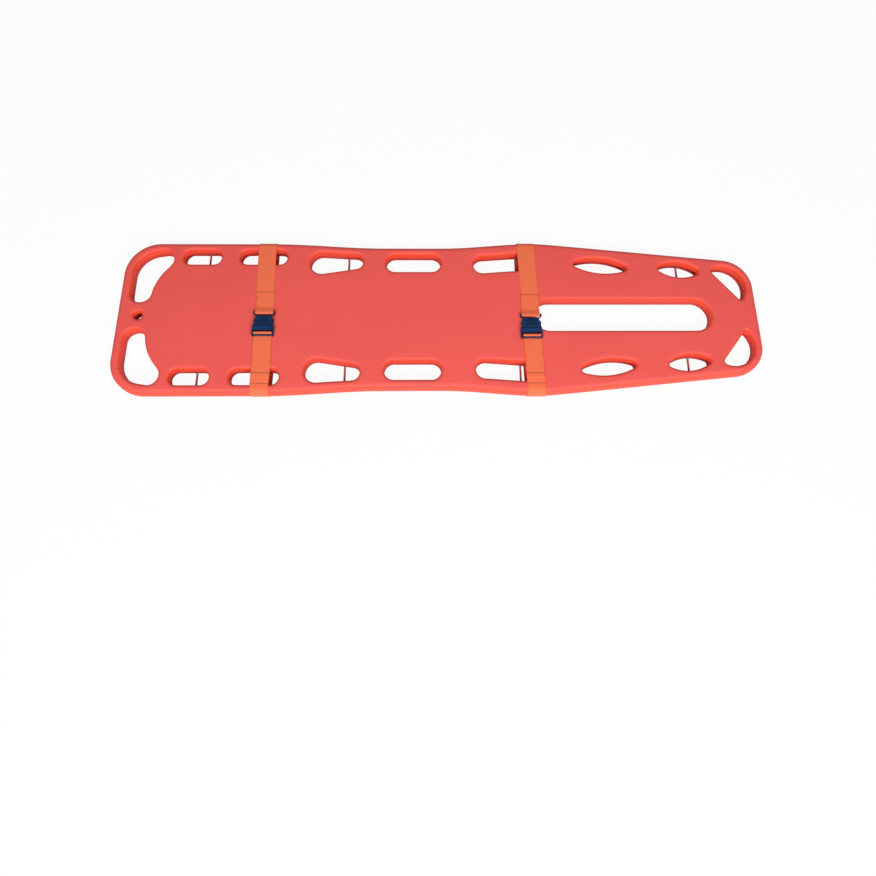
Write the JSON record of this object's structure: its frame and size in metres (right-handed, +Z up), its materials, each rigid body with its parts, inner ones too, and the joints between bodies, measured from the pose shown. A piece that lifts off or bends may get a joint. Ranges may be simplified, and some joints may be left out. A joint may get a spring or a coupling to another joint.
{
  "type": "spine board",
  "caption": "Long rigid rescue board with grip slots along its edges, a slot between the legs, clip pins and buckled webbing straps.",
  "frame": {"origin": "middle of the flat underside, halfway between the head end and the foot end", "axes": "+X towards the foot end, +Y towards the side that carries the fixed ends of the straps, +Z up out of the deck"},
  "size_m": [1.84, 0.4638, 0.0646],
  "materials": {
    "moulded_board": "satin",
    "foam": "matte",
    "plug_plastic": "satin",
    "clip_pin": "satin",
    "webbing": "matte",
    "buckle_plastic": "satin"
  },
  "bodies": {
    "board": {"board_shell": "moulded_board", "foam_core": "foam", "filler_plugs": "plug_plastic", "shoulder_pin_far": "clip_pin", "shoulder_pin_near": "clip_pin", "elbow_pin_far": "clip_pin", "elbow_pin_near": "clip_pin", "hip_pin_far": "clip_pin", "hip_pin_near": "clip_pin", "shin_pin_far": "clip_pin", "shin_pin_near": "clip_pin", "chest_strap_wrap": "webbing", "chest_buckle_socket": "buckle_plastic", "thigh_strap_wrap": "webbing", "thigh_buckle_socket": "buckle_plastic"},
    "chest_plug": {"chest_buckle_plug": "buckle_plastic", "chest_strap_adjuster_run": "webbing"},
    "chest_arm_head_side": {"chest_buckle_arm_head_side": "buckle_plastic"},
    "chest_arm_foot_side": {"chest_buckle_arm_foot_side": "buckle_plastic"},
    "thigh_plug": {"thigh_buckle_plug": "buckle_plastic", "thigh_strap_adjuster_run": "webbing"},
    "thigh_arm_head_side": {"thigh_buckle_arm_head_side": "buckle_plastic"},
    "thigh_arm_foot_side": {"thigh_buckle_arm_foot_side": "buckle_plastic"}
  },
  "joints": [
    {"name": "chest_buckle_release", "type": "slide", "parent": "board", "child": "chest_plug", "axis": [0, -1, 0], "range_m": [0, 0.045], "deforming": ["chest_strap_adjuster_run", "chest_buckle_arm_head_side", "chest_buckle_arm_foot_side"]},
    {"name": "chest_arm_press_head_side", "type": "hinge", "parent": "chest_plug", "child": "chest_arm_head_side", "pos_m": [-0.5215, -0.0435, 0.0563], "axis": [0, 0, -1], "range_deg": [0, 10], "stiffness_Nm_per_rad": 1},
    {"name": "chest_arm_press_foot_side", "type": "hinge", "parent": "chest_plug", "child": "chest_arm_foot_side", "pos_m": [-0.4825, -0.0435, 0.0563], "axis": [0, 0, 1], "range_deg": [0, 10], "stiffness_Nm_per_rad": 1},
    {"name": "thigh_buckle_release", "type": "slide", "parent": "board", "child": "thigh_plug", "axis": [0, -1, 0], "range_m": [0, 0.045], "deforming": ["thigh_strap_adjuster_run", "thigh_buckle_arm_head_side", "thigh_buckle_arm_foot_side"]},
    {"name": "thigh_arm_press_head_side", "type": "hinge", "parent": "thigh_plug", "child": "thigh_arm_head_side", "pos_m": [0.2375, -0.0515, 0.0563], "axis": [0, 0, -1], "range_deg": [0, 10], "stiffness_Nm_per_rad": 1},
    {"name": "thigh_arm_press_foot_side", "type": "hinge", "parent": "thigh_plug", "child": "thigh_arm_foot_side", "pos_m": [0.2765, -0.0515, 0.0563], "axis": [0, 0, 1], "range_deg": [0, 10], "stiffness_Nm_per_rad": 1}
  ]
}
